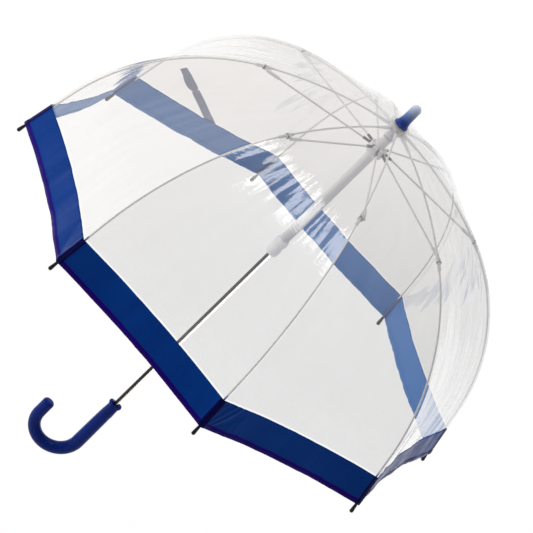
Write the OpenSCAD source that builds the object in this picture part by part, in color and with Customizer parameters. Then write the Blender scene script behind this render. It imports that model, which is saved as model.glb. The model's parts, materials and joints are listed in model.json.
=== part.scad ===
// Children's dome umbrella, open: a crook handle, a steel shaft, a long sliding runner, eight ribs
// with their stretchers, and a clear film canopy of eight gores. +Z runs up the shaft to the
// ferrule, the crook hooks towards -X, and the origin is the middle of the straight grip.
// Rib 1 lies at 180 degrees, rib 2 at 225 degrees, and so on. Gore n lies between ribs n and n + 1.

/* [Canopy] */
// Distance from the shaft's axis to a rim corner
rim_radius = 325; // [315:1:335]
// Drop from the canopy's top to the rim corners
rim_drop = 310; // [300:1:320]
// Distance from the axis to the ring of stretcher joints
joint_radius = 167.6; // [160:0.2:175]
// Drop from the canopy's top to the ring of stretcher joints
joint_drop = 54.6; // [50:0.2:60]
// Slope of a rib below the horizontal at its stretcher joint
joint_slope = 27; // [24:1:30]
// Slope of a rib below the horizontal at the rim
rim_slope = 78; // [76:1:80]
// Thickness of the film solids
film_t = 0.4; // [0.3:0.1:0.8]
// Gap from a rib's centreline to the inside of the film
film_off = 3; // [2.8:0.1:4]

/* [Ribs and stretchers] */
// Diameter of the rib and stretcher rods
rod_d = 2.4; // [2:0.1:2.6]
// Diameter of the sleeves on the rods at the stretcher joints
sleeve_d = 4.2; // [4:0.1:4.4]
// Diameter of the white end piece of a rib
rib_end_d = 5; // [4.4:0.1:5.4]
// Length that a tip stands out past the rim corner
tip_l = 13.7; // [10:0.1:18]
// Sideways offset of a stretcher's outer end from its rib
stretcher_side = 5.2; // [5.2:0.1:6]

/* [Shaft, runner and hubs] */
// Diameter of the shaft
shaft_d = 6; // [5:0.1:6.4]
// Outer diameter of the runner sleeve
runner_d = 13; // [12:0.1:13.4]
// Drop from the canopy's top to the runner's lower end
runner_end_drop = 236; // [230:1:236]
// Drop from the canopy's top to the stretcher pivots
hub_drop = 41; // [40:0.5:46]
// Outer diameter of the top notch and of the stretcher hub
hub_d = 24; // [24:0.5:26]
// Distance from the axis to the rib pivots and the stretcher pivots
pivot_radius = 9.2; // [9.2:0.1:9.6]
// Drop from the canopy's top to the rib pivots
pivot_drop = 7; // [7:0.1:8]

/* [Handle and ferrule] */
// Height of the canopy's top above the middle of the grip
top_h = 568; // [560:1:580]
// Drop from the canopy's top to the handle's lip
lip_drop = 528; // [528:1:532]
// Diameter of the handle
handle_d = 16.6; // [15:0.1:17.4]
// Radius of the crook's centreline
crook_r = 31; // [28:0.5:40]
// Height of the ferrule
ferrule_h = 33; // [28:1:40]
// Diameter of the ferrule's body
ferrule_d = 12.9; // [11:0.1:14]

/* [Tie strap] */
// Length of the tie strap
strap_l = 125; // [110:1:135]
// Width of the tie strap
strap_w = 10.4; // [8:0.1:12]
// Angle of the tie strap above the rim
strap_angle = 29.4; // [28:0.2:38]

/* [Hidden] */
$fn = 48;
ribs = 8;
half_gore = 180 / ribs;
fit = 0.06;

// Points in a rib's own plane are [distance from the axis, height]. An arc is named by the slope
// below the horizontal at its ends: the point at slope a is centre + radius * [sin a, cos a].
pivot_pt = [pivot_radius, top_h - pivot_drop];
joint_pt = [joint_radius, top_h - joint_drop];
rim_pt = [rim_radius, top_h - rim_drop];
hub_pt = [pivot_radius, top_h - hub_drop];

// Upper rib: one arc that reaches the joint at joint_slope.
upper_chord = norm(joint_pt - pivot_pt);
upper_chord_slope = atan2(pivot_pt[1] - joint_pt[1], joint_pt[0] - pivot_pt[0]);
start_slope = 2 * upper_chord_slope - joint_slope;
upper_r = upper_chord / (2 * sin(joint_slope - upper_chord_slope));
upper_c = joint_pt - upper_r * [sin(joint_slope), cos(joint_slope)];

// Lower rib: an arc from joint_slope to rim_slope and a straight end.
reach = rim_pt[0] - joint_pt[0];
fall = joint_pt[1] - rim_pt[1];
arc_out = sin(rim_slope) - sin(joint_slope);
arc_down = cos(joint_slope) - cos(rim_slope);
lower_det = arc_out * sin(rim_slope) - cos(rim_slope) * arc_down;
lower_r = (reach * sin(rim_slope) - cos(rim_slope) * fall) / lower_det;
straight_l = (arc_out * fall - arc_down * reach) / lower_det;
lower_c = joint_pt - lower_r * [sin(joint_slope), cos(joint_slope)];

// Stretcher: a straight rod from the hub to the joint, skewed to pass beside its rib.
stretcher_l = norm(joint_pt - hub_pt);
stretcher_slope = atan2(hub_pt[1] - joint_pt[1], joint_pt[0] - hub_pt[0]);

// Hinged blades and forks
eye_r = 2.2;
blade_w = 2;
slot_w = 2.6;
pin_r = 0.6;
fork_pin_r = 0.7;
cheek_w = 0.9;
cheek_h = 3.2;
joint_gap = 3.6;
joint_sleeve_l = 6.4;
rib_end_l = 26;
rib_end_start = 5;
stretcher_fork_l = 13;
stretcher_sleeve_l = 18;
slot_inner_r = 6.8;
collar_drop = 21;
notch_bottom_drop = 10;
runner_top_drop = 22;
grip_l = 26;
lip_ring_r = 6.3;
lip_r = 2.9;
grip_straight_l = 74.5;
crook_end_l = 21;
washer_t = 0.8;
shaft_in_handle = 40;
strap_gap = 0.5;
strap_t = 0.8;
strap_foot = [-20, 31];
strap_gore = 7;
fastener = [1.2, 26, 12];
fastener_at = 98;

function rib_azimuth(n) = 180 + 360 / ribs * (n - 1);
function arc_pts(centre, radius, a0, a1, steps) = [
    for (i = [0 : steps])
        let (a = a0 + (a1 - a0) * i / steps)
            centre + radius * [sin(a), cos(a)]
];
function reversed(list) = [for (i = [len(list) - 1 : -1 : 0]) list[i]];
// A meridian at the middle of a gore is a rib's meridian drawn in by this share.
function drawn_in(list) = [for (p = list) [p[0] * cos(half_gore), p[1]]];
function upper_line(off, a0) = arc_pts(upper_c, upper_r + off, a0, joint_slope, 12);
function lower_line(off) = concat(
    arc_pts(lower_c, lower_r + off, joint_slope + 0.03, rim_slope, 20),
    [rim_pt + off * [sin(rim_slope), cos(rim_slope)]]
);

// Puts its children at a point of the rib's plane, with their +Z along the slope.
module along(p, slope) {
    translate([p[0], 0, p[1]]) rotate([0, 90 + slope, 0]) children();
}

// A rod bent to an arc between two slopes
module arc_rod(centre, radius, a0, a1, d) {
    translate([centre[0], 0, centre[1]])
        rotate([90, 0, 0])
            rotate([0, 0, 90 - a1])
                rotate_extrude(angle = a1 - a0, $fn = 180)
                    translate([radius, 0]) circle(d = d, $fn = 24);
}

// A disc or pin across the rib's plane, centred on it
module cross_pin(p, r, w) {
    translate([p[0], 0, p[1]]) rotate([90, 0, 0]) cylinder(r = r, h = w, center = true);
}

// An eight-sided ring of wire through the pivots. Every second side is a hair thinner, so that the
// sides cross cleanly at the corners.
module wire_ring(z) {
    side = 2 * pivot_radius * tan(half_gore);
    for (n = [1 : ribs])
        rotate([0, 0, rib_azimuth(n)])
            translate([pivot_radius, 0, z])
                rotate([90, 0, 0])
                    cylinder(r = pin_r - 0.02 * (n % 2), h = side + 0.6, center = true);
}

// The holes for a wire ring: one straight hole across each slot
module wire_holes(z, r) {
    side = 2 * pivot_radius * tan(half_gore);
    for (n = [1 : ribs])
        rotate([0, 0, rib_azimuth(n)])
            translate([pivot_radius, 0, z])
                rotate([90, 0, 0]) cylinder(r = r, h = side + 1, center = true);
}

// Slots for hinged blades: open outwards and, from the pivots, up or down
module blade_slots(z0, z1) {
    for (n = [1 : ribs])
        rotate([0, 0, rib_azimuth(n)])
            translate([slot_inner_r, -slot_w / 2, z0]) cube([hub_d, slot_w, z1 - z0]);
}

module shaft_rod() {
    inner_d = 4.8;
    z0 = top_h - lip_drop - shaft_in_handle;
    z1 = top_h + 14;
    color("dimgray")
        difference() {
            translate([0, 0, z0]) cylinder(d = shaft_d, h = z1 - z0);
            translate([0, 0, z0 - 1]) cylinder(d = inner_d, h = z1 - z0 + 2);
        }
}

module ferrule_cap() {
    base_d = 19.3;
    r = ferrule_d / 2;
    flare_r = base_d / 2 - r;
    color("midnightblue")
        difference() {
            union() {
                translate([0, 0, top_h]) cylinder(d = base_d, h = 1.6);
                translate([0, 0, top_h]) cylinder(r = r, h = ferrule_h - r);
                translate([0, 0, top_h + ferrule_h - r]) sphere(r = r);
                translate([0, 0, top_h + 1.6])
                    rotate_extrude()
                        difference() {
                            square([base_d / 2, flare_r]);
                            translate([base_d / 2, flare_r]) circle(r = flare_r);
                        }
            }
            translate([0, 0, top_h - 1]) cylinder(d = shaft_d, h = 15);
        }
}

module canopy_washer() {
    washer_r = 14;
    color("gainsboro")
        difference() {
            translate([0, 0, top_h - washer_t]) cylinder(r = washer_r, h = washer_t);
            translate([0, 0, top_h - 2]) cylinder(d = shaft_d, h = 4);
        }
}

module top_notch() {
    r = hub_d / 2;
    color("white")
        difference() {
            rotate_extrude()
                polygon([
                    [0, top_h - washer_t], [7, top_h - washer_t],
                    [r, top_h - 3.4], [r, top_h - notch_bottom_drop],
                    [runner_d / 2, top_h - notch_bottom_drop - 1.4], [runner_d / 2, top_h - collar_drop],
                    [0, top_h - collar_drop],
                ]);
            translate([0, 0, top_h - collar_drop - 1]) cylinder(d = shaft_d, h = collar_drop + 2);
            blade_slots(top_h - notch_bottom_drop - 3, top_h - pivot_drop + eye_r + 0.2);
            wire_holes(top_h - pivot_drop, pin_r + 0.03);
        }
}

module notch_wire() {
    color("silver") wire_ring(top_h - pivot_drop);
}

module runner_sleeve() {
    z0 = top_h - runner_end_drop;
    z1 = top_h - runner_top_drop;
    collar_l = 8;
    color("gainsboro")
        difference() {
            translate([0, 0, z0]) cylinder(d = runner_d, h = z1 - z0);
            translate([0, 0, z0 - 1]) cylinder(d = shaft_d + 2 * fit, h = z1 - z0 + 2);
            translate([0, 0, z0 + collar_l]) cylinder(d = shaft_d + 2.4, h = z1 - z0 - 2 * collar_l);
        }
}

module stretcher_hub() {
    z0 = top_h - hub_drop - 11;
    z1 = top_h - hub_drop + 3.4;
    color("gainsboro")
        difference() {
            union() {
                translate([0, 0, z0 + 3]) cylinder(d = hub_d, h = z1 - z0 - 3);
                translate([0, 0, z0]) cylinder(d1 = hub_d - 6, d2 = hub_d, h = 3);
            }
            translate([0, 0, z0 - 1]) cylinder(d = runner_d, h = z1 - z0 + 2);
            blade_slots(top_h - hub_drop - eye_r - 0.3, z1 + 1);
            wire_holes(top_h - hub_drop, pin_r + 0.03);
        }
}

module hub_wire() {
    color("silver") wire_ring(top_h - hub_drop);
}

module runner_grip() {
    z0 = top_h - runner_end_drop + 0.5;
    bulge_r = 8.6;
    waist_r = 7.4;
    half = grip_l / 2;
    edge = 1.2;
    rise = bulge_r - waist_r;
    round_r = (half * half / 4 + rise * rise) / (2 * rise);
    color("gainsboro")
        difference() {
            translate([0, 0, z0])
                rotate_extrude()
                    intersection() {
                        union() {
                            square([waist_r, grip_l]);
                            for (i = [0, 1])
                                translate([bulge_r - round_r, half / 2 + i * half])
                                    circle(r = round_r, $fn = 90);
                        }
                        translate([0, edge / 2]) square([bulge_r + 1, grip_l - edge]);
                    }
            translate([0, 0, z0 - 1]) cylinder(d = runner_d, h = grip_l + 2);
        }
}

module crook_handle() {
    z_lip = top_h - lip_drop - lip_r;
    z_bend = z_lip - grip_straight_l;
    z_socket = top_h - lip_drop - shaft_in_handle;
    r = handle_d / 2;
    end_round_r = 4;
    color("midnightblue")
        difference() {
            union() {
                translate([0, 0, z_lip]) rotate_extrude() translate([lip_ring_r, 0]) circle(r = lip_r);
                translate([0, 0, z_bend]) cylinder(r = r, h = z_lip - z_bend);
                translate([-crook_r, 0, z_bend])
                    rotate([90, 0, 0])
                        rotate([0, 0, 180])
                            rotate_extrude(angle = 180, $fn = 120)
                                translate([crook_r, 0]) circle(r = r);
                translate([-2 * crook_r, 0, z_bend])
                    rotate_extrude() {
                        square([r, crook_end_l - end_round_r]);
                        square([r - end_round_r, crook_end_l]);
                        translate([r - end_round_r, crook_end_l - end_round_r]) circle(r = end_round_r);
                    }
            }
            translate([0, 0, z_socket]) cylinder(d = shaft_d, h = shaft_in_handle + 1);
        }
}

module rib_upper(n) {
    sleeve_a = joint_slope - (joint_gap + joint_sleeve_l) / upper_r * 180 / PI;
    joint_a = joint_slope - joint_gap / upper_r * 180 / PI;
    end_a = start_slope + rib_end_l / upper_r * 180 / PI;
    cone_l = rib_end_l - rib_end_start;
    color("lightgray")
        rotate([0, 0, rib_azimuth(n)]) {
            difference() {
                union() {
                    cross_pin(pivot_pt, eye_r, blade_w);
                    along(pivot_pt, start_slope + 0.6)
                        translate([-1.3, -blade_w / 2, 0]) cube([2.6, blade_w, rib_end_start + 1]);
                }
                cross_pin(pivot_pt, pin_r + fit, blade_w + 1);
            }
            along(pivot_pt, start_slope + 1.6)
                translate([0, 0, rib_end_start])
                    cylinder(d1 = rib_end_d, d2 = rod_d + 0.6, h = cone_l);
            arc_rod(upper_c, upper_r, end_a - 1, joint_a, rod_d);
            along(upper_c + upper_r * [sin(sleeve_a), cos(sleeve_a)], (sleeve_a + joint_a) / 2)
                cylinder(d = sleeve_d, h = joint_sleeve_l);
            for (side = [-1, 1])
                translate([0, side * (sleeve_d - cheek_w) / 2, 0]) {
                    cross_pin(joint_pt, sleeve_d / 2, cheek_w);
                    along(joint_pt, joint_slope)
                        translate([-cheek_h / 2, -cheek_w / 2, -joint_gap - 1])
                            cube([cheek_h, cheek_w, joint_gap + 1]);
                }
            cross_pin(joint_pt, fork_pin_r, sleeve_d - cheek_w);
        }
}

module rib_lower(n) {
    joint_a = joint_slope + joint_gap / lower_r * 180 / PI;
    sleeve_a = joint_slope + (joint_gap + joint_sleeve_l) / lower_r * 180 / PI;
    tip_seat = 6;
    color("lightgray")
        rotate([0, 0, rib_azimuth(n)]) {
            difference() {
                union() {
                    cross_pin(joint_pt, sleeve_d / 2, blade_w);
                    along(joint_pt, joint_slope)
                        translate([-sleeve_d / 2 + 0.3, -blade_w / 2, 0])
                            cube([sleeve_d - 0.6, blade_w, joint_gap + 0.5]);
                }
                cross_pin(joint_pt, fork_pin_r + fit, blade_w + 1);
            }
            along(lower_c + lower_r * [sin(joint_a), cos(joint_a)], (sleeve_a + joint_a) / 2)
                cylinder(d = sleeve_d, h = joint_sleeve_l);
            arc_rod(lower_c, lower_r, joint_a, rim_slope + 0.2, rod_d - 0.1);
            along(rim_pt, rim_slope)
                translate([0, 0, -straight_l]) cylinder(d = rod_d, h = straight_l + tip_seat);
        }
}

module rib_tip(n) {
    root_d = 3.4;
    end_d = 5;
    seat = 6;
    color("black")
        rotate([0, 0, rib_azimuth(n)])
            along(rim_pt, rim_slope)
                difference() {
                    union() {
                        translate([0, 0, -1]) cylinder(d1 = root_d, d2 = end_d, h = tip_l - end_d / 2 + 1);
                        translate([0, 0, tip_l - end_d / 2]) sphere(d = end_d);
                    }
                    translate([0, 0, -2]) cylinder(d = rod_d, h = seat + 2);
                }
}

module stretcher(n) {
    skew = atan(stretcher_side / stretcher_l);
    ear_gap = 4;
    ear_t = 1.2;
    ear_y = sleeve_d / 2 + 0.4;
    color("gray")
        rotate([0, 0, rib_azimuth(n)]) {
            difference() {
                union() {
                    cross_pin(hub_pt, eye_r, blade_w);
                    along(hub_pt, stretcher_slope)
                        translate([-1.5, -blade_w / 2, 0]) cube([3, blade_w, stretcher_fork_l]);
                }
                cross_pin(hub_pt, pin_r + fit, blade_w + 1);
            }
            along(hub_pt, stretcher_slope)
                rotate([-skew, 0, 0]) {
                    translate([0, 0, stretcher_fork_l - 3])
                        cylinder(d = rod_d, h = stretcher_l - stretcher_fork_l - ear_gap);
                    translate([0, 0, stretcher_l - ear_gap - stretcher_sleeve_l])
                        cylinder(d = sleeve_d, h = stretcher_sleeve_l);
                }
            along(joint_pt, stretcher_slope)
                translate([-1.6, ear_y, -ear_gap - 2]) cube([3.2, ear_t, ear_gap + 2]);
            translate([joint_pt[0], ear_y + ear_t, joint_pt[1]])
                rotate([90, 0, 0]) cylinder(r = eye_r, h = ear_t);
            translate([joint_pt[0], ear_y + ear_t + 0.8, joint_pt[1]])
                rotate([90, 0, 0]) cylinder(r = 1.2, h = ear_t + 0.9);
        }
}

// A piece of film between two ribs, straight across the gore and curved down its middle
module film(n, inner, outer) {
    width = 2 * rim_radius;
    gap = 0.15;
    rotate([0, 0, rib_azimuth(n) + half_gore])
        intersection() {
            rotate([90, 0, 0])
                linear_extrude(height = width, center = true)
                    polygon(drawn_in(concat(inner, reversed(outer))));
            translate([gap / sin(half_gore), 0, 0])
                linear_extrude(height = top_h)
                    polygon([
                        [0, 0],
                        [width, -width * tan(half_gore)],
                        [width, width * tan(half_gore)],
                    ]);
        }
}

module gore_upper(n) {
    color([0.92, 0.91, 0.9, 0.35])
        film(n, upper_line(film_off, start_slope + 1.6), upper_line(film_off + film_t, start_slope + 1.6));
}

module gore_lower(n) {
    color([0.2, 0.3, 0.6, 0.5])
        film(n, lower_line(film_off), lower_line(film_off + film_t));
}

// The rib's line at an offset, from the rim to a distance up from it
function rim_line(off, to) = concat(
    [for (s = [0, straight_l]) rim_pt + off * [sin(rim_slope), cos(rim_slope)]
        - s * [cos(rim_slope), -sin(rim_slope)]],
    [for (i = [1 : 8])
        let (a = rim_slope - (to - straight_l) / lower_r * 180 / PI * i / 8)
            lower_c + (lower_r + off) * [sin(a), cos(a)]]
);

// Puts its children at the strap's foot, with +Y along the strap and -X out from the film. The
// foot's place is [sideways from the gore's middle, up from the rim].
module at_strap() {
    rotate([0, 0, rib_azimuth(strap_gore) + half_gore])
        along([rim_pt[0] * cos(half_gore), rim_pt[1]], rim_slope)
            translate([0, strap_foot[0], -strap_foot[1]])
                rotate([-strap_angle, 0, 0]) children();
}

module tie_strap() {
    off = film_off + film_t + strap_gap;
    depth = 60;
    color("midnightblue")
        intersection() {
            rotate([0, 0, rib_azimuth(strap_gore) + half_gore])
                rotate([90, 0, 0])
                    linear_extrude(height = 2 * strap_l, center = true)
                        polygon(drawn_in(concat(
                            rim_line(off, strap_l),
                            reversed(rim_line(off + strap_t, strap_l))
                        )));
            at_strap() translate([-depth / 2, 0, -strap_w / 2]) cube([depth, strap_l, strap_w]);
        }
}

// The fastener lies flat on the curved strap, so it has its own place and slope.
module strap_fastener() {
    clearance = 0.2;
    off = film_off + film_t + strap_gap + strap_t;
    rise = strap_foot[1] + fastener_at * sin(strap_angle) - straight_l;
    a = rim_slope - asin(rise / (lower_r + off));
    centre = lower_c + (lower_r + off + clearance + fastener[0] / 2) * [sin(a), cos(a)];
    color("navy")
        rotate([0, 0, rib_azimuth(strap_gore) + half_gore])
            along([centre[0] * cos(half_gore), centre[1]], atan(tan(a) / cos(half_gore)))
                translate([0, strap_foot[0] + fastener_at * cos(strap_angle), 0])
                    rotate([-strap_angle, 0, 0]) cube(fastener, center = true);
}

shaft_rod();
ferrule_cap();
canopy_washer();
top_notch();
notch_wire();
runner_sleeve();
stretcher_hub();
hub_wire();
runner_grip();
crook_handle();
tie_strap();
strap_fastener();
for (n = [1 : ribs]) {
    rib_upper(n);
    rib_lower(n);
    rib_tip(n);
    stretcher(n);
    gore_upper(n);
    gore_lower(n);
}
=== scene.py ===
"""The looks of a child's clear dome umbrella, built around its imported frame.

Lengths are in metres in the row frame: +Z up the shaft, the crook towards -X, and the origin in the
middle of the grip. Rib n lies at 180 + 45 (n - 1) degrees, and gore n between ribs n and n + 1.
"""

import json
import math

import bpy
import numpy as np
from mathutils import Matrix, Vector, noise


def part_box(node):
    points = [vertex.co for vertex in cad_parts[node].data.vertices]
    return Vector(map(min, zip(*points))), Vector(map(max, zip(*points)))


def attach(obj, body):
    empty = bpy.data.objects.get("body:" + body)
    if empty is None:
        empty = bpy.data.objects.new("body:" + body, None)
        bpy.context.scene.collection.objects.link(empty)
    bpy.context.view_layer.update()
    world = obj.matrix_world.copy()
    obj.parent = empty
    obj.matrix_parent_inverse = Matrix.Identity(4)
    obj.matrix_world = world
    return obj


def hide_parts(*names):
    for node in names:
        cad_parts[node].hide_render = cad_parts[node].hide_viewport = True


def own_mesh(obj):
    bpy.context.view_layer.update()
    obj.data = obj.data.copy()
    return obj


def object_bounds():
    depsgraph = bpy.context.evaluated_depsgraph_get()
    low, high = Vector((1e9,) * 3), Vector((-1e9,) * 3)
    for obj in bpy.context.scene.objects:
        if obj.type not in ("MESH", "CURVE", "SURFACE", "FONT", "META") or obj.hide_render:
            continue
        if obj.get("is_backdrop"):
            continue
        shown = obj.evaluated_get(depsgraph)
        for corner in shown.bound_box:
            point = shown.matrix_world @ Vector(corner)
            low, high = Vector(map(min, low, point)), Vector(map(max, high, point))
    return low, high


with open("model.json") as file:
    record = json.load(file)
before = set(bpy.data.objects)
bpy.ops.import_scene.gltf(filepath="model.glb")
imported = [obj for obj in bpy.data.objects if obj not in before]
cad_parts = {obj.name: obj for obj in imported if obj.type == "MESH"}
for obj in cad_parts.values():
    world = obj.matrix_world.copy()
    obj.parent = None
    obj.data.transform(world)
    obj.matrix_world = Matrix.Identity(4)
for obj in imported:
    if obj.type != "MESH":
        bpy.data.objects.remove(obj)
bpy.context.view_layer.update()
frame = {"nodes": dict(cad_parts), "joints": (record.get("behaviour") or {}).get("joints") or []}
MM = 0.001
RIBS = 8
HALF_GORE = math.pi / RIBS

# ---------------------------------------------------------------- sizes, from the frame

JOINTS = {j["name"]: j for j in frame["joints"]}


def joint_place(name):
    """Distance from the axis and height of a joint of rib 1."""
    x, y, z = JOINTS[name]["pos_m"]
    return np.array([math.hypot(x, y), z])


PIVOT = joint_place("rib_fold_1")
JOINT = joint_place("rib_flex_1")
TOP_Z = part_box("ferrule_cap")[0][2]
RIM_RADIUS, RIM_DROP = 325 * MM, 310 * MM
RIM = np.array([RIM_RADIUS, TOP_Z - RIM_DROP])
JOINT_SLOPE, RIM_SLOPE = math.radians(27), math.radians(78)
# How far the film lies outside the ribs, then the widths of the border, its hem, a border's seam
# strip (near black, partly painted shade), the weld of two gores and the bead above the border, a weld
# painted bright as a highlight.
FILM_OFF = 3.2 * MM
BORDER = 42 * MM
HEM = 6.5 * MM
SEAM = 4.2 * MM
WELD_W = 1.9 * MM
BEAD_W = 2.2 * MM
FERRULE_H = 33 * MM


def out(slope):
    """The outward normal of a rib where it slopes down by this angle."""
    return np.array([math.sin(slope), math.cos(slope)])


def solve_arcs():
    """A rib's first slope, the radius and centre of its two arcs, and the length of its straight end."""
    chord = JOINT - PIVOT
    chord_slope = math.atan2(-chord[1], chord[0])
    start = 2 * chord_slope - JOINT_SLOPE
    upper_r = np.linalg.norm(chord) / (2 * math.sin(JOINT_SLOPE - chord_slope))
    reach, fall = RIM[0] - JOINT[0], JOINT[1] - RIM[1]
    across = math.sin(RIM_SLOPE) - math.sin(JOINT_SLOPE)
    down = math.cos(JOINT_SLOPE) - math.cos(RIM_SLOPE)
    lower_r, straight = np.linalg.solve(
        [[across, math.cos(RIM_SLOPE)], [down, math.sin(RIM_SLOPE)]], [reach, fall]
    )
    upper_c, lower_c = (JOINT - radius * out(JOINT_SLOPE) for radius in (upper_r, lower_r))
    return start, upper_r, upper_c, lower_r, lower_c, straight


START, UPPER_R, UPPER_C, LOWER_R, LOWER_C, STRAIGHT = solve_arcs()
UPPER_L = UPPER_R * (JOINT_SLOPE - START)
LOWER_L = LOWER_R * (RIM_SLOPE - JOINT_SLOPE) + STRAIGHT
RIB_L = UPPER_L + LOWER_L


def meridian(s, off=FILM_OFF):
    """The point at an offset outside a rib, and its slope, at length s down the rib from its pivot."""
    if s < UPPER_L:
        slope = START + s / UPPER_R
        return UPPER_C + (UPPER_R + off) * out(slope), slope
    slope = min(JOINT_SLOPE + (s - UPPER_L) / LOWER_R, RIM_SLOPE)
    place = LOWER_C + (LOWER_R + off) * out(slope)
    past = s - UPPER_L - LOWER_R * (RIM_SLOPE - JOINT_SLOPE)
    if past > 0:
        place = place + past * np.array([math.cos(slope), -math.sin(slope)])
    return place, slope


def gore_azimuth(n):
    """The direction of gore n's middle, half a gore past rib n."""
    return math.pi + (2 * n - 1) * HALF_GORE


# ---------------------------------------------------------------- meshes


def mesh_object(name, points, faces, marks=None):
    """A smooth mesh; marks holds a material index for each face."""
    mesh = bpy.data.meshes.new(name)
    mesh.from_pydata([tuple(p) for p in points], [], faces)
    mesh.polygons.foreach_set("use_smooth", [True] * len(mesh.polygons))
    if marks:
        mesh.polygons.foreach_set("material_index", marks)
    mesh.validate()
    mesh.update()
    obj = bpy.data.objects.new(name, mesh)
    bpy.context.collection.objects.link(obj)
    return obj


def grid_object(name, rows, closed=False, mark=None):
    """A sheet of quads through rows of points; mark(i, j) is the material of row i's face in column j."""
    wide = len(rows[0])
    points = [p for row in rows for p in row]
    faces, marks = [], []
    for i in range(len(rows) - 1):
        for j in range(wide if closed else wide - 1):
            k = (j + 1) % wide
            faces.append((i * wide + j, i * wide + k, (i + 1) * wide + k, (i + 1) * wide + j))
            marks.append(mark(i, j) if mark else 0)
    return mesh_object(name, points, faces, marks)


def capped(name, rows):
    """A closed skin through rings of points, with its two ends filled."""
    wide = len(rows[0])
    points = [p for row in rows for p in row]
    faces = [
        (i * wide + j, i * wide + (j + 1) % wide, (i + 1) * wide + (j + 1) % wide, (i + 1) * wide + j)
        for i in range(len(rows) - 1)
        for j in range(wide)
    ]
    faces.append(tuple(reversed(range(wide))))
    faces.append(tuple((len(rows) - 1) * wide + j for j in range(wide)))
    return mesh_object(name, points, faces)


def shell(name, rings, mark):
    """A closed skin through thin flat rings of points, whose two ends are filled with quads."""
    wide = len(rings[0])
    points = [p for ring in rings for p in ring]
    faces, marks = [], []
    for i in range(len(rings) - 1):
        for j in range(wide):
            k = (j + 1) % wide
            faces.append((i * wide + j, (i + 1) * wide + j, (i + 1) * wide + k, i * wide + k))
            marks.append(mark(i, j))
    last = (len(rings) - 1) * wide
    for j in range(wide // 2 - 1):
        a, b, c, d = j, j + 1, wide - 2 - j, wide - 1 - j
        faces += [(a, b, c, d), (last + d, last + c, last + b, last + a)]
        marks += [mark(0, j), mark(len(rings) - 2, j)]
    return mesh_object(name, points, faces, marks)


def turn_steps(count):
    return np.linspace(0, 2 * math.pi, count, endpoint=False)


def lathe(name, outline, steps=64):
    """A skin turned about the shaft's axis from (radius, height) points."""
    rows = [[(r * math.cos(a), r * math.sin(a), z) for a in turn_steps(steps)] for r, z in outline]
    return capped(name, rows)


def arc_outline(centre, radius, a0, a1, steps):
    """Points round an arc in (radius, height), between two angles in degrees."""
    return [
        (centre[0] + radius * math.cos(a), centre[1] + radius * math.sin(a))
        for a in np.radians(np.linspace(a0, a1, steps))
    ]


# ---------------------------------------------------------------- materials


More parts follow.
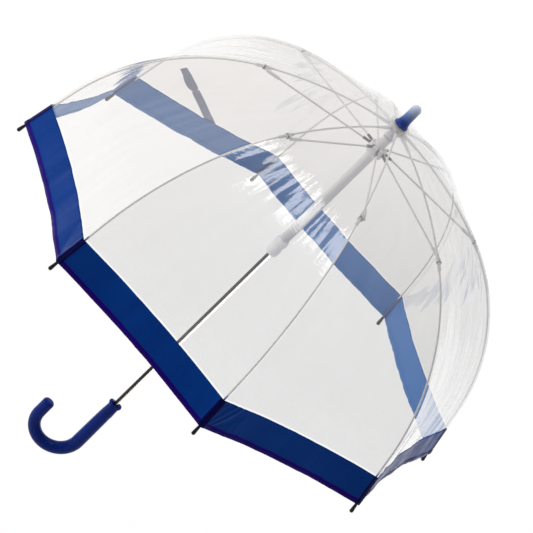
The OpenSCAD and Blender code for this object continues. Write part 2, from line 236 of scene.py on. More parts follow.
class Nodes:
    """A material's node tree, with short calls for the nodes used here."""

    def __init__(self, name):
        self.mat = bpy.data.materials.new(name)
        self.mat.use_nodes = True
        self.tree = self.mat.node_tree
        self.tree.nodes.clear()
        self.output = self.add("ShaderNodeOutputMaterial")
        self.place = self.add("ShaderNodeTexCoord").outputs["Object"]

    def add(self, kind, **settings):
        node = self.tree.nodes.new(kind)
        for key, value in settings.items():
            setattr(node, key, value)
        return node

    def join(self, source, target):
        self.tree.links.new(source, target)

    def give(self, node, **inputs):
        """Sets inputs by name, with _ for a space: a socket is linked and anything else is a value."""
        for key, value in inputs.items():
            socket = node.inputs[key.replace("_", " ")]
            if isinstance(value, bpy.types.NodeSocket):
                self.join(value, socket)
            else:
                socket.default_value = value
        return node

    def stretched(self, scale):
        node = self.add("ShaderNodeMapping")
        self.give(node, Vector=self.place, Scale=scale)
        return node.outputs["Vector"]

    def noise(self, scale, detail=4.0, rough=0.55, stretch=None):
        node = self.add("ShaderNodeTexNoise")
        where = self.stretched(stretch) if stretch else self.place
        self.give(node, Vector=where, Scale=scale, Detail=detail, Roughness=rough)
        return node.outputs["Fac"]

    def ramp(self, value, stops):
        node = self.add("ShaderNodeValToRGB")
        self.join(value, node.inputs["Fac"])
        while len(node.color_ramp.elements) < len(stops):
            node.color_ramp.elements.new(0.5)
        for element, (at, colour) in zip(node.color_ramp.elements, stops):
            element.position = at
            element.color = (*colour, 1) if len(colour) == 3 else colour
        return node.outputs["Color"]

    def span(self, value, low, high, to_low=0.0, to_high=1.0):
        node = self.add("ShaderNodeMapRange")
        node.inputs["From Min"].default_value = low
        node.inputs["From Max"].default_value = high
        node.inputs["To Min"].default_value = to_low
        node.inputs["To Max"].default_value = to_high
        self.join(value, node.inputs["Value"])
        return node.outputs["Result"]

    def mix(self, share, a, b):
        node = self.add("ShaderNodeMix", data_type="RGBA")
        for socket, value in ((node.inputs[0], share), (node.inputs[6], a), (node.inputs[7], b)):
            if isinstance(value, bpy.types.NodeSocket):
                self.join(value, socket)
            else:
                socket.default_value = (*value, 1) if isinstance(value, tuple) else value
        return node.outputs[2]

    def math(self, operation, a, b=0.0):
        node = self.add("ShaderNodeMath", operation=operation)
        for socket, value in zip(node.inputs, (a, b)):
            if isinstance(value, bpy.types.NodeSocket):
                self.join(value, socket)
            else:
                socket.default_value = value
        return node.outputs["Value"]

    def from_axis(self):
        """Distance from the shaft's axis."""
        x, y, _ = self.parts()
        return self.math("SQRT", self.math("ADD", self.math("MULTIPLY", x, x), self.math("MULTIPLY", y, y)))

    def parts(self):
        """The X, Y and Z of the place on the object."""
        split = self.add("ShaderNodeSeparateXYZ")
        self.join(self.place, split.inputs[0])
        return split.outputs

    def down_streaks(self, scale, along, detail=3.0):
        """Noise drawn out down the canopy: its grain is fine round the shaft and long down the gores."""
        x, y, z = self.parts()
        where = self.add("ShaderNodeCombineXYZ")
        self.join(self.math("ARCTAN2", y, x), where.inputs[0])
        self.join(self.math("MULTIPLY", z, along), where.inputs[1])
        node = self.add("ShaderNodeTexNoise")
        self.give(node, Vector=where.outputs[0], Scale=scale, Detail=detail, Roughness=0.5)
        return node.outputs["Fac"]

    def bump(self, value, strength, distance):
        node = self.add("ShaderNodeBump")
        self.give(node, Strength=strength, Distance=distance, Height=value)
        return node.outputs["Normal"]

    def sheet_mirror(self, normal):
        """The share of light that a thin clear sheet mirrors from its two faces, on either side."""
        edge = self.give(self.add("ShaderNodeLayerWeight"), Blend=0.5, Normal=normal)
        grazing = self.math("POWER", edge.outputs["Facing"], 5.0)
        one_face = self.math("ADD", 0.04, self.math("MULTIPLY", 0.96, grazing))
        return self.math("DIVIDE", self.math("MULTIPLY", one_face, 2.0), self.math("ADD", one_face, 1.0))

    def principled(self, **inputs):
        node = self.give(self.add("ShaderNodeBsdfPrincipled"), **inputs)
        self.join(node.outputs["BSDF"], self.output.inputs["Surface"])
        return self.mat


def clear_film():
    """Clear soft film: it lets most light through, with a faint haze and a wet-looking gloss.

    Its colour is cream towards -X and +Y; towards +X and -Y a painted shade turns it a darker grey.
    """
    n = Nodes("clear_film")
    ripple = n.noise(26, 3, 0.5, (1, 1, 0.4))
    streak = n.down_streaks(11, 5)
    fine = n.down_streaks(46, 14, 2)
    height = n.math("ADD", n.math("MULTIPLY", ripple, 0.55), n.math("MULTIPLY", streak, 0.5))
    height = n.math("ADD", height, n.math("MULTIPLY", fine, 0.22))
    normal = n.bump(height, 0.32, 2.4 * MM)
    x, y, _ = n.parts()
    # painted shade: the film's cream colour darkens to grey towards +X and -Y
    side = n.span(n.math("SUBTRACT", x, y), -0.25, 0.15)
    film_colour_and_painted_shade = n.mix(side, (0.975, 0.955, 0.938), (0.872, 0.868, 0.866))
    see = n.give(n.add("ShaderNodeBsdfTransparent"), Color=film_colour_and_painted_shade)
    haze = n.give(n.add("ShaderNodeBsdfDiffuse"), Color=(0.88, 0.87, 0.865, 1), Normal=normal)
    gloss = n.give(n.add("ShaderNodeBsdfGlossy"), Color=(1, 1, 1, 1), Roughness=0.07, Normal=normal)
    body = n.add("ShaderNodeMixShader")
    n.join(n.span(n.noise(7, 3), 0.3, 0.7, *HAZE), body.inputs[0])
    n.join(see.outputs[0], body.inputs[1])
    n.join(haze.outputs[0], body.inputs[2])
    skin = n.add("ShaderNodeMixShader")
    n.join(n.sheet_mirror(normal), skin.inputs[0])
    n.join(body.outputs[0], skin.inputs[1])
    n.join(gloss.outputs[0], skin.inputs[2])
    n.join(skin.outputs[0], n.output.inputs["Surface"])
    return n.mat


def weld_film(name, solid_share, dark, light, clear=(0.96, 0.955, 0.95)):
    """Two layers of film welded together: whiter and less clear than the film."""
    n = Nodes(name)
    grain = n.noise(900, 2)
    see = n.give(n.add("ShaderNodeBsdfTransparent"), Color=(*clear, 1))
    solid = n.give(
        n.add("ShaderNodeBsdfPrincipled"),
        Base_Color=n.ramp(grain, [(0.3, dark), (0.7, light)]),
        Roughness=0.3,
        Normal=n.bump(grain, 0.3, 0.2 * MM),
    )
    both = n.add("ShaderNodeMixShader")
    both.inputs[0].default_value = solid_share
    n.join(see.outputs[0], both.inputs[1])
    n.join(solid.outputs[0], both.inputs[2])
    n.join(both.outputs[0], n.output.inputs["Surface"])
    return n.mat


def coloured_film(name, dark, light, rough=(0.22, 0.36), mirror=0.07):
    """Opaque soft film: a smooth skin with faint mottling, rolling marks and a gloss that varies."""
    n = Nodes(name)
    cloudy = n.noise(9, 3)
    rolled = n.down_streaks(9, 6)
    grain = n.noise(1400, 2)
    colour = n.mix(n.span(cloudy, 0.35, 0.65), dark, light)
    height = n.math("ADD", rolled, n.math("MULTIPLY", grain, 0.1))
    return n.principled(
        Base_Color=colour,
        Roughness=n.span(rolled, 0.3, 0.7, *rough),
        Normal=n.bump(height, 0.3, 1.4 * MM),
        Specular_IOR_Level=mirror,
    )


def moulded(name, dark, light, rough=(0.25, 0.4), depth=0.12, mirror=0.4):
    """Moulded plastic: a fine grain, faint flow marks and a roughness that varies."""
    n = Nodes(name)
    flow = n.noise(40, 3, 0.55, (1, 1, 0.3))
    grain = n.noise(700, 2)
    return n.principled(
        Base_Color=n.mix(n.span(flow, 0.35, 0.65), dark, light),
        Roughness=n.span(flow, 0.3, 0.7, *rough),
        Normal=n.bump(grain, depth, 0.3 * MM),
        Specular_IOR_Level=mirror,
    )


def drawn_metal(name, dark, light, rough=(0.18, 0.35), depth=0.1):
    """Drawn metal with fine scratches along the shaft."""
    n = Nodes(name)
    drawn = n.noise(500, 3, 0.6, (1, 1, 0.02))
    return n.principled(
        Base_Color=n.mix(n.span(drawn, 0.3, 0.7), dark, light),
        Metallic=1.0,
        Roughness=n.span(drawn, 0.3, 0.7, *rough),
        Normal=n.bump(drawn, depth, 0.1 * MM),
    )


def banded_rod(name, bands, base, rough=(0.3, 0.45)):
    """A coated rod whose colour changes with the distance from the shaft: bands of (from, to, colour)."""
    n = Nodes(name)
    away = n.from_axis()
    grain = n.noise(800, 2)
    shade = n.noise(30, 2)
    colour = n.mix(n.span(shade, 0.3, 0.7), tuple(0.9 * c for c in base), base)
    for start, end, tone in bands:
        inside = n.math("MULTIPLY", n.math("GREATER_THAN", away, start), n.math("LESS_THAN", away, end))
        colour = n.mix(inside, colour, tone)
    return n.principled(
        Base_Color=colour,
        Roughness=n.span(shade, 0.3, 0.7, *rough),
        Normal=n.bump(grain, 0.1, 0.1 * MM),
    )


def ferrule_painted_highlight_material():
    """Navy plastic with a painted highlight: its colour pales towards its tip."""
    n = Nodes("navy_ferrule_painted_highlight")
    # painted highlight: the colour runs from navy at the foot to pale blue-grey at the tip
    up = n.span(n.parts()[2], TOP_Z + 8 * MM, TOP_Z + FERRULE_H)
    stops = [(0.0, (0.008, 0.04, 0.26)), (0.35, (0.12, 0.2, 0.46)), (1.0, (0.66, 0.72, 0.85))]
    grain = n.noise(700, 2)
    return n.principled(
        Base_Color=n.ramp(up, stops),
        Roughness=n.span(grain, 0.3, 0.7, 0.26, 0.34),
        Normal=n.bump(grain, 0.08, 0.2 * MM),
    )


def lit_floor():
    """A pale floor that the camera sees as white, and that glows a little, more towards +Y."""
    n = Nodes("studio_floor")
    pale = n.ramp(n.noise(60, 4), [(0.3, (0.78, 0.78, 0.78)), (0.7, (0.8, 0.8, 0.8))])
    ground = n.give(
        n.add("ShaderNodeBsdfPrincipled"),
        Base_Color=pale,
        Roughness=0.9,
        Emission_Color=(1, 1, 1, 1),
        Emission_Strength=n.span(n.parts()[1], -1.0, 1.0, 0.03, 0.55),
    )
    bright = n.give(n.add("ShaderNodeEmission"), Color=pale, Strength=1.27)
    seen = n.add("ShaderNodeMixShader")
    n.join(n.add("ShaderNodeLightPath").outputs["Is Camera Ray"], seen.inputs[0])
    n.join(ground.outputs[0], seen.inputs[1])
    n.join(bright.outputs[0], seen.inputs[2])
    n.join(seen.outputs[0], n.output.inputs["Surface"])
    return n.mat


HAZE = (0.13, 0.17)
FILM = clear_film()
WELD = weld_film("weld_film", 0.2, (0.72, 0.72, 0.72), (0.85, 0.85, 0.84))
# painted highlight: the bead above the border is a weld, painted near white for the highlight along its
# ridge
BEAD_AND_PAINTED_HIGHLIGHT = weld_film("weld_bead_and_painted_highlight", 0.1, (0.9, 0.91, 0.95), (0.97, 0.98, 1.0), (1, 1, 1))
NAVY = coloured_film("navy_border", (0.0002, 0.034, 0.22), (0.0006, 0.044, 0.26))
# painted light: the border's inside is a lighter copy of the navy, for light shining in through the film
NAVY_INSIDE_PAINTED_LIGHT = coloured_film("navy_border_inside_painted_light", (0.025, 0.17, 0.52), (0.035, 0.2, 0.58), (0.35, 0.5))
HEM_FILM = coloured_film("navy_hem", (0.012, 0.0005, 0.14), (0.016, 0.001, 0.18), (0.25, 0.4))
# the seam strips at the ribs are near black: partly the double layer of film, partly painted shade of the
# fold there
SEAM_FILM_AND_PAINTED_SHADE = coloured_film("navy_seam_and_painted_shade", (0.0015, 0.0015, 0.055), (0.003, 0.003, 0.085), (0.25, 0.4))
STRAP = coloured_film("navy_strap", (0.06, 0.07, 0.3), (0.085, 0.095, 0.36), (0.3, 0.5))
HANDLE = moulded("navy_handle", (0.002, 0.014, 0.15), (0.003, 0.022, 0.2), (0.16, 0.22), 0.015, 0.12)
WHITE = moulded("white_plastic", (0.84, 0.83, 0.85), (0.9, 0.89, 0.91), (0.3, 0.42))
GRIP_WHITE = moulded("white_grip", (0.86, 0.85, 0.87), (0.92, 0.91, 0.93), (0.3, 0.42))
BLACK = moulded("black_tip", (0.003, 0.003, 0.005), (0.008, 0.008, 0.012), (0.25, 0.4))
STEEL = drawn_metal("dark_steel", (0.035, 0.031, 0.029), (0.055, 0.05, 0.047), (0.24, 0.3), 0.01)
WIRE = drawn_metal("pivot_wire", (0.3, 0.3, 0.3), (0.5, 0.5, 0.5))
ROD = (0.88, 0.86, 0.84)
ROD_END = (0.9, 0.89, 0.89)
SLEEVE = (0.78, 0.775, 0.77)
POCKET = (0.03, 0.09, 0.3)
DARK = (0.09, 0.075, 0.07)
# The bands run outwards: a rib's white end, its sleeve with a dark rivet, and its tip in the hem's
# pocket; a stretcher's dark fork, and its sleeve with a dark rivet.
RIB_BANDS = [
    (0, 37 * MM, ROD_END),
    (157.5 * MM, 177.5 * MM, SLEEVE),
    (166.8 * MM, 168.4 * MM, DARK),
    (RIM_RADIUS - 9 * MM, 1, POCKET),
]
STRETCHER_BANDS = [
    (0, 22.5 * MM, DARK),
    (145.5 * MM, 172 * MM, SLEEVE),
    (166.4 * MM, 168.8 * MM, DARK),
]
RIB_ROD = banded_rod("rib_rod", RIB_BANDS, ROD)
STRETCHER_ROD = banded_rod("stretcher_rod", STRETCHER_BANDS, ROD)
FERRULE = ferrule_painted_highlight_material()


def put(obj, *materials):
    """Gives a piece its materials, in the order of its marks."""
    for m in materials:
        obj.data.materials.append(m)
    return obj


def dress(node, material):
    """Gives a carried-over CAD node its material."""
    for material_slot in frame["nodes"][node].material_slots:
        material_slot.material = material


# ---------------------------------------------------------------- canopy

# How far the film pulls in between the ribs past the flat chord, and how soon it does.
SAG, SAG_GROWTH = 0.35, 2.2
FILM_START = 5.5 * MM
BORDER_TOP = RIB_L - BORDER
# The steps of noise from gore to gore, and its heights: slack, puckers and lines drawn down the film.
GORE_SEED = 2.37
SLACK, PUCKER, DRAWN = 1.5 * MM, 0.6 * MM, 0.35 * MM
# How far the rim wanders on the near gores, 1 to 3, and on the far ones.
NEAR_WAVE, FAR_WAVE = 0.25 * MM, 1.1 * MM
# The gore whose border has sharp creases beside its first rib.
CREASED_GORE = 3


def gore_flat_width(s):
    """The width of a gore's flat pattern at length s down the rib."""
    (r, _), _ = meridian(s)
    return 2 * r * math.sin(HALF_GORE)


def crease(a, b, reach, power, deep, wide):
    """The height of a ridge that starts at a corner of the border and ends at its top edge.

    a and b are the distances from the rib and up from the rim. The ridge meets the top edge at a
    distance of reach from the rib, and a power over 1 bends it towards the rib.
    """
    if a <= 0 or b > 1.5 * BORDER:
        return 0.0
    line = BORDER * (a / reach) ** power
    lean = BORDER * power / reach * (a / reach) ** (power - 1)
    away = (b - line) / math.hypot(1, lean)
    fade = min(1.0, math.hypot(a, b) / (5 * MM)) * min(1.0, max(0.0, (1.5 * BORDER - b) / (0.5 * BORDER)))
    return deep * math.exp(-((away / wide) ** 2)) * fade


def corner_creases(n, side, a, b):
    """The creases that fan out of a corner: side is -1 at rib n and 1 at rib n + 1."""
    soft = 0.5 * MM * (1 + 0.5 * math.sin(7 * n + 2 * side))
    rise = crease(a, b, (16 + 4 * math.sin(3 * n + side)) * MM, 1.2, soft, 3 * MM)
    rise += crease(a, b, (34 + 8 * math.sin(5 * n + side)) * MM, 1.5, -0.8 * soft, 4 * MM)
    if n == CREASED_GORE and side < 0:
        rise += crease(a, b, 9 * MM, 1.0, 0.5 * MM, 0.9 * MM)
        rise += crease(a, b, 20 * MM, 1.15, 0.5 * MM, 0.9 * MM)
        rise += crease(a, b, 28 * MM, 1.7, 0.9 * MM, 1.8 * MM)
    return rise


def stand_off(n, u, s):
    """How far the film of gore n stands off its smooth surface, outwards."""
    seed, along = GORE_SEED * n, s / RIB_L
    edge = 1 - abs(u)
    loose = SLACK * noise.noise(Vector((3.1 * u + seed, 7 * along, 1.7 * seed)))
    pucker = PUCKER * noise.noise(Vector((9 * u + 3 * seed, 4 * along + 5 * u, seed)))
    drawn = DRAWN * noise.noise(Vector((26 * u + seed, 5 * along, seed)))
    held = min(1.0, 6 * edge) * min(1.0, 2.5 * along)
    a = edge * 0.5 * gore_flat_width(s)
    fold = corner_creases(n, math.copysign(1, u), a, RIB_L - s) if along > 0.8 else 0.0
    return (loose + pucker + drawn) * held + fold * min(1.0, a / (2 * MM))


def rim_wave(n, u):
    """How far the rim's edge wanders along the rib."""
    seed = GORE_SEED * n
    wander = noise.noise(Vector((7 * u, seed, 0.3))) + 0.8 * noise.noise(Vector((24 * u, seed, 1.3)))
    return (NEAR_WAVE if n < 4 else FAR_WAVE) * wander * min(1.0, 8 * (1 - abs(u)))


def film_point(n, u, s, off=0.0):
    """A point of gore n: u runs from -1 at rib n to 1 at rib n + 1, s down the rib's length."""
    (r, z), slope = meridian(s)
    turn = u * HALF_GORE
    chord = math.cos(HALF_GORE) / math.cos(turn)
    sag = SAG * min(1.0, SAG_GROWTH * s / RIB_L)
    rise = (stand_off(n, u, s) if abs(u) < 1 else 0.0) + off
    r = r * (chord - (1 - chord) * sag) + rise * math.sin(slope)
    z = z + rise * math.cos(slope)
    a = gore_azimuth(n) + turn
    return (r * math.cos(a), r * math.sin(a), z)


def columns(s, edge, middle):
    """The u of each column at length s: a strip of a set width along each rib, and middle between them."""
    inner = 1 - 2 * edge / gore_flat_width(s)
    return np.concatenate([[-1], inner * middle, [1]])


def fold_gore(obj, n, body):
    """The film rides on its gore's body."""
    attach(obj, f"{body}_{n}")
    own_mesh(obj)


def flat_area(s0, s1):
    """The area of a gore's flat pattern between two lengths down the rib."""
    step = (s1 - s0) / 60
    return sum(gore_flat_width(s0 + (i + 0.5) * step) * step for i in range(60))


def film(name, n, body, s0, s1, count, across):
    """A gore's clear film, with a weld along each rib."""
    middle = np.linspace(-1, 1, across + 1)
    lengths = np.linspace(s0, s1, count + 1)
    rows = [[film_point(n, u, s) for u in columns(s, WELD_W, middle)] for s in lengths]

    def mark(i, j):
        # the strip just above the border takes the bead's material, painted bright as a highlight
        if s1 > BORDER_TOP:
            return 2
        return 1 if j in (0, across + 1) else 0

    obj = put(grid_object(name, rows, mark=mark), FILM, WELD, BEAD_AND_PAINTED_HIGHLIGHT)
    fold_gore(obj, n, body)
    return obj


def hem_height(n, u):
    """The hem's height, which wanders by half a millimetre."""
    return HEM + 0.5 * MM * noise.noise(Vector((9 * u, GORE_SEED * n, 4.1)))


def border_outline(n, u, count):
    """The border's section as (height above the rim, offset): down its outside and up its inside."""
    hem = hem_height(n, u)
    heights = np.linspace(BORDER, hem + 0.3 * MM, count)
    outside = [(h, 0.3 * MM) for h in heights]
    hem_out = [(hem, 0.7 * MM), (0.5 * hem, 0.8 * MM), (0.4 * MM, 0.7 * MM), (0.0, 0.3 * MM)]
    hem_in = [(0.0, -0.2 * MM), (0.4 * MM, -0.55 * MM), (0.5 * hem, -0.6 * MM), (hem, -0.5 * MM)]
    inside = [(h, -0.15 * MM) for h in reversed(heights)]
    return outside + hem_out + hem_in + inside


def border(n):
    """The coloured border and its hem: outside, inside in a lighter blue that is painted light, hem and the
    dark strips at the ribs, partly painted shade.
    """
    fine = n == CREASED_GORE
    count = 34 if fine else 14
    middle = np.linspace(-1, 1, 61)
    if fine:
        middle = np.concatenate([np.linspace(-1, -0.7, 50), np.linspace(-0.7, 1, 46)[1:]])
    step = 0.4 * MM / gore_flat_width(RIB_L)
    middle = np.concatenate([[-1], middle * (1 - 2 * step), [1]])
    us = columns(RIB_L, SEAM, middle)
    rings = []
    for j, u in enumerate(us):
        at_seam = j < 2 or j > len(us) - 3
        wave = rim_wave(n, u)
        ring = []
        for h, off in border_outline(n, u, count):
            lift = 0.35 * MM if at_seam and off > 0 else 0.0
            near_rim = 1 - h / BORDER
            ring.append(film_point(n, u, RIB_L - h + wave * near_rim, off + lift))
        rings.append(ring)
    total = len(rings[0])

    def mark(i, j):
        if count + 4 <= j < total - 1:
            return 1
        if i < 2 or i > len(us) - 4:
            return 3
        return 2 if count - 1 <= j < count + 4 else 0

    obj = put(shell(f"border_{n}", rings, mark), NAVY, NAVY_INSIDE_PAINTED_LIGHT, HEM_FILM, SEAM_FILM_AND_PAINTED_SHADE)
    fold_gore(obj, n, "lower_gore")
    return obj


for n in range(1, RIBS + 1):
    upper = film(f"film_upper_{n}", n, "upper_gore", FILM_START, UPPER_L, 34, 44)
    lower = film(f"film_lower_{n}", n, "lower_gore", UPPER_L, BORDER_TOP - BEAD_W, 64, 72)
    edge = film(f"film_edge_{n}", n, "lower_gore", BORDER_TOP - BEAD_W, BORDER_TOP + 2 * MM, 2, 72)
    band = border(n)
    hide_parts(f"gore_upper_{n}")
    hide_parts(f"gore_lower_{n}")
    wide = gore_flat_width(RIB_L)
    upper_flat, lower_flat = (gore_flat_width(UPPER_L), UPPER_L), (wide, BORDER_TOP - UPPER_L)
    flat_area(FILM_START, UPPER_L)
    flat_area(UPPER_L, BORDER_TOP)
    band_area = flat_area(BORDER_TOP, RIB_L)


# ---------------------------------------------------------------- tie strap

STRAP_GORE = 7
# The foot's place to the side of the gore's middle and up from the rim.
STRAP_FOOT = (-20 * MM, 31 * MM)
STRAP_ANGLE = math.radians(29.4)
STRAP_L, STRAP_W, STRAP_T = 125 * MM, 10.4 * MM, 0.7 * MM
PAD = (85 * MM, 111 * MM)
PAD_W, PAD_T = 12 * MM, 1.1 * MM
# Where the strap narrows, just before its pad.
NOTCH = PAD[0] - 2 * MM


def strap_point(along, across, off):
    """A point over gore 7's film: along the strap, across it, and out from the film."""
    side = STRAP_FOOT[0] + along * math.cos(STRAP_ANGLE) - across * math.sin(STRAP_ANGLE)
    up = STRAP_FOOT[1] + along * math.sin(STRAP_ANGLE) + across * math.cos(STRAP_ANGLE)
    s = RIB_L - up
    (r, _), _ = meridian(s)
    u = math.atan(side / (r * math.cos(HALF_GORE))) / HALF_GORE
    return film_point(STRAP_GORE, u, s, off)


def strap_piece(name, start, end, wide, low, thick, bend):
    """A flat strip of the strap between two lengths along it, rounded at its sides."""
    rings = []
    section = [(-0.5, 0.5), (-0.46, 1), (-0.2, 1), (0.2, 1), (0.46, 1), (0.5, 0.5)]
    section += [(0.46, 0), (0.2, 0), (-0.2, 0), (-0.46, 0)]
    steps = max(4, int((end - start) / MM))
    for i in range(steps + 1):
        t = i / steps
        along = start + (end - start) * t
        round_off = 1 - 0.12 * (1 - min(1.0, 8 * t, 8 * (1 - t)))
        round_off -= 0.5 * math.exp(-(((along - NOTCH) / (1.3 * MM)) ** 2))
        shift = bend * math.sin(math.pi * t)
        across = wide * round_off
        rings.append([strap_point(along, shift + across * c, low + thick * h) for c, h in section])
    obj = put(capped(name, rings), STRAP)
    fold_gore(obj, STRAP_GORE, "lower_gore")
    return obj


def tie_strap():
    """The strap's long stretch up to its fastener, the fastener's pad and the loose end past it."""
    long_part = strap_piece("strap", 0, STRAP_L, STRAP_W, 0.5 * MM, STRAP_T, 0.6 * MM)
    pad = strap_piece("strap_pad", *PAD, PAD_W, 1.3 * MM, PAD_T, -1.2 * MM)
    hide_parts("tie_strap")
    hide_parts("strap_fastener")


tie_strap()


# ---------------------------------------------------------------- crown, ferrule, handle


def crown_film():
    """The film's middle, held between the ferrule and the top notch."""
    rings = [(3.1, -0.75), (6, -0.75), (8.5, -1.5), (11, -2.7), (13, -3.6), (15.5, -4.3)]
    rows = [
        [(r * MM * math.cos(a), r * MM * math.sin(a), TOP_Z + drop * MM) for a in turn_steps(64)]
        for r, drop in rings
    ]
    obj = put(grid_object("crown_film", rows, closed=True), FILM)
    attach(obj, "shaft_and_handle")


def ferrule():
    """The cap: a foot with rounded edges that flares out of a slim body with a round top."""
    bore, body, foot = 3.2 * MM, 6.45 * MM, 9.65 * MM
    low_round, top_round = 0.5 * MM, 0.4 * MM
    flare, flare_start, flare_reach, body_end = 2.6 * MM, 1.9 * MM, 4.2 * MM, 22 * MM
    z = TOP_Z
    outline = [(bore, z), (foot - low_round, z)]
    outline += arc_outline((foot - low_round, z + low_round), low_round, -90, 0, 4)
    outline += arc_outline((foot - top_round, z + 1.3 * MM), top_round, 0, 70, 4)
    for up in np.linspace(flare_start, body_end, 14):
        outline.append((body + flare * math.exp(-(up - flare_start) / flare_reach), z + up))
    outline += arc_outline((0, z + FERRULE_H - body), body, 0, 88, 14)
    obj = put(lathe("ferrule", outline, 72), FERRULE)
    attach(obj, "shaft_and_handle")
    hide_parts("ferrule_cap")


def washer():
    """The thin disc under the ferrule, with a rounded edge and a top that falls a little outwards."""
    outline = [(3.1 * MM, TOP_Z - 0.75 * MM), (13.4 * MM, TOP_Z - 0.75 * MM)]
    outline += arc_outline((13.6 * MM, TOP_Z - 0.4 * MM), 0.35 * MM, -90, 90, 6)
    outline += [(9.8 * MM, TOP_Z - 0.02 * MM), (3.1 * MM, TOP_Z - 0.02 * MM)]
    obj = put(lathe("washer", outline, 72), WELD)
    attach(obj, "shaft_and_handle")
    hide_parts("canopy_washer")


# The lip's height, the radius of its roll and of the ring that the roll follows, and its dip.
LIP_Z = TOP_Z - 530.9 * MM
LIP_R, LIP_RING, SADDLE = 2.9 * MM, 6.35 * MM, 2.6 * MM
# The straight grip's length, the hook's radius and the length of its straight end.
GRIP_L, CROOK_R, CROOK_END = 74.5 * MM, 31 * MM, 21 * MM
# The grip's section: (millimetres below the lip, radius in millimetres, share of the finger step).
FINGER_STEP = 0.5 * MM
GRIP = [
    (3.2, 7.3, 1),
    (6, 7.35, 1),
    (12, 7.6, 1),
    (16, 7.85, 1),
    (18.5, 8.0, 0.4),
    (20, 8.05, 0),
    (28, 8.2, 0),
    (40, 8.35, 0),
    (55, 8.5, 0),
    (66, 8.6, 0),
]


def handle():
    """The crook: a rolled lip, a straight grip with a slight finger step, and a round hook."""
    bend_z = LIP_Z - GRIP_L
    x, y, z = np.eye(3)
    rows = []

    def ring(centre, across, radius, step=0.0, dip=0.0):
        """A ring: step puts its side away from the hook further out, dip lets its flanks fall."""
        line = []
        for a in turn_steps(40):
            reach = radius + step * max(0.0, math.cos(a)) ** 0.5
            fall = dip * math.sin(a) ** 2
            line.append(tuple(centre + reach * (math.cos(a) * across + math.sin(a) * y) - fall * z))
        rows.append(line)

    ring((LIP_Z - 4 * MM) * z, x, 3.3 * MM)
    for radius, height in arc_outline((LIP_RING, LIP_Z), LIP_R, 200, -70, 18):
        ring(height * z, x, radius, 0, SADDLE * 0.5 * (1 + (height - LIP_Z) / LIP_R))
    for drop, radius, step in GRIP:
        ring((LIP_Z - drop * MM) * z, x, radius * MM, step * FINGER_STEP)
    for t in np.linspace(0, 1, 49):
        a = math.pi * t
        centre = np.array([-CROOK_R + CROOK_R * math.cos(a), 0, bend_z - CROOK_R * math.sin(a)])
        ring(centre, np.array([math.cos(a), 0, -math.sin(a)]), (8.65 - 0.6 * t) * MM)
    end = np.array([-2 * CROOK_R, 0, bend_z])
    tip_r, tip_round = 7.9 * MM, 4 * MM
    round_start = CROOK_END - tip_round
    for up in (5 * MM, 10 * MM, round_start):
        ring(end + up * z, -x, tip_r)
    for a in np.radians(np.linspace(12, 90, 8)):
        ring(end + (round_start + tip_round * math.sin(a)) * z, -x, tip_r - tip_round * (1 - math.cos(a)))
    obj = put(capped("handle", rows), HANDLE)
    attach(obj, "shaft_and_handle")
    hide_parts("crook_handle")


crown_film()
ferrule()
washer()
handle()

# ---------------------------------------------------------------- carried-over nodes

for n in range(1, RIBS + 1):
    dress(f"rib_upper_{n}", RIB_ROD)
    dress(f"rib_lower_{n}", RIB_ROD)
    dress(f"rib_tip_{n}", BLACK)
    dress(f"stretcher_{n}", STRETCHER_ROD)
for node, material in (
    ("shaft_rod", STEEL),
    ("top_notch", WHITE),
    ("notch_wire", WIRE),
    ("runner_sleeve", WHITE),
    ("stretcher_hub", WHITE),
    ("hub_wire", WIRE),
    ("runner_grip", GRIP_WHITE),
):
    dress(node, material)

# ---------------------------------------------------------------- floor, light and camera


def camera():
    """The camera, a little left of -Y and above, rolled so that the shaft leans to the right."""
    azimuth, elevation, roll = np.radians([-15.2, 23.96, 45.71])
    distance, field = 4.0574, math.radians(9.108)
    level = np.array([math.cos(azimuth), math.sin(azimuth), 0.0])
    aim = np.array([0.0, 0.0, TOP_Z - 0.2521]) + 0.00861 * level
    flat = math.cos(elevation)
    back = np.array([math.sin(azimuth) * flat, -math.cos(azimuth) * flat, math.sin(elevation)])
    upright = np.cross(back, level)
    right = math.cos(roll) * level + math.sin(roll) * upright
    up = -math.sin(roll) * level + math.cos(roll) * upright
    data = bpy.data.cameras.new("camera")
    data.sensor_width = 36
    data.lens = 18 / math.tan(field / 2)
    data.clip_end = 100
    obj = bpy.data.objects.new("camera", data)
    place = aim + distance * back
    obj.matrix_world = Matrix([[right[i], up[i], back[i], place[i]] for i in range(3)] + [[0, 0, 0, 1]])
    bpy.context.collection.objects.link(obj)
    bpy.context.scene.camera = obj
    return aim, right, up, back


def softbox(name, place, aim, size, power, mirrored=True):
    """An area light; where it isn't mirrored, glossy surfaces don't show it."""
    data = bpy.data.lights.new(name, "AREA")
    data.shape = "RECTANGLE"
    data.size, data.size_y = size
    data.energy = power
    obj = bpy.data.objects.new(name, data)
    obj.location = place
    obj.rotation_mode = "QUATERNION"
    obj.rotation_quaternion = (Vector(aim) - Vector(place)).to_track_quat("-Z", "Y")
    obj.visible_glossy = mirrored
    bpy.context.collection.objects.link(obj)
    return obj


def light_only(light, name):
    """Keep a light on one object."""
    only = bpy.data.collections.new(f"{light.name}_only")
    only.objects.link(bpy.data.objects[name])
    light.light_linking.receiver_collection = only


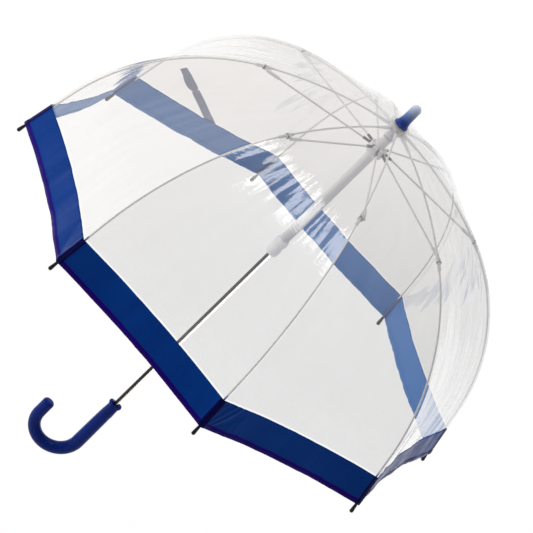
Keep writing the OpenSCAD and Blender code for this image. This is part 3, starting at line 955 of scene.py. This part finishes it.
def floor():
    """The pale floor, half a metre below the umbrella."""
    size, low = 14.0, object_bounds()[0][2] - 0.5
    corners = [(-size, -size, low), (size, -size, low), (size, size, low), (-size, size, low)]
    put(mesh_object("floor", corners, [(0, 1, 2, 3)]), lit_floor())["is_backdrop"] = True


def sky():
    """White light from all round, brighter from +Y."""
    world = bpy.data.worlds.new("studio")
    world.use_nodes = True
    tree = world.node_tree
    light = tree.nodes["Background"]
    light.inputs["Color"].default_value = (1, 1, 1, 1)
    split = tree.nodes.new("ShaderNodeSeparateXYZ")
    tree.links.new(tree.nodes.new("ShaderNodeTexCoord").outputs["Generated"], split.inputs[0])
    level = tree.nodes.new("ShaderNodeMapRange")
    for name, value in (("From Min", -0.6), ("From Max", 0.5), ("To Min", 0.2), ("To Max", 0.8)):
        level.inputs[name].default_value = value
    tree.links.new(split.outputs[1], level.inputs["Value"])
    tree.links.new(level.outputs["Result"], light.inputs["Strength"])
    bpy.context.scene.world = world


def lights(aim, right, up, back):
    """Soft lights on the whole umbrella, then four that each light one piece."""
    middle = Vector((0, 0, 0.3))
    softbox("key", aim + 2.2 * up - 1.6 * right + 1.0 * back, middle, (1.4, 1.4), 36, False)
    softbox("fill", aim + 2.0 * right + 2.0 * back, middle, (2.0, 2.0), 6, False)
    softbox("top", Vector((-0.68, -0.66, 3.0)), middle, (0.5, 1.2), 9)
    rod_strip = softbox("rod_strip", Vector((1.25, -0.65, -0.1)), middle, (2.4, 1.0), 260)
    rod_edge = softbox("rod_edge", Vector((1.3, 0.6, -0.1)), middle, (2.4, 1.0), 260)
    runner_fill = softbox("runner_fill", aim + 2.5 * back, middle, (1.5, 1.5), 26, False)
    grip_place = aim - 1.9 * up - 1.9 * right + 0.2 * back
    grip_strip = softbox("grip_strip", grip_place, aim, (1.6, 1.0), 90)
    light_only(rod_strip, "shaft_rod")
    light_only(rod_edge, "shaft_rod")
    light_only(runner_fill, "runner_grip")
    light_only(grip_strip, "handle")


floor()
sky()
bpy.context.scene.view_settings.view_transform = "Standard"
lights(*camera())
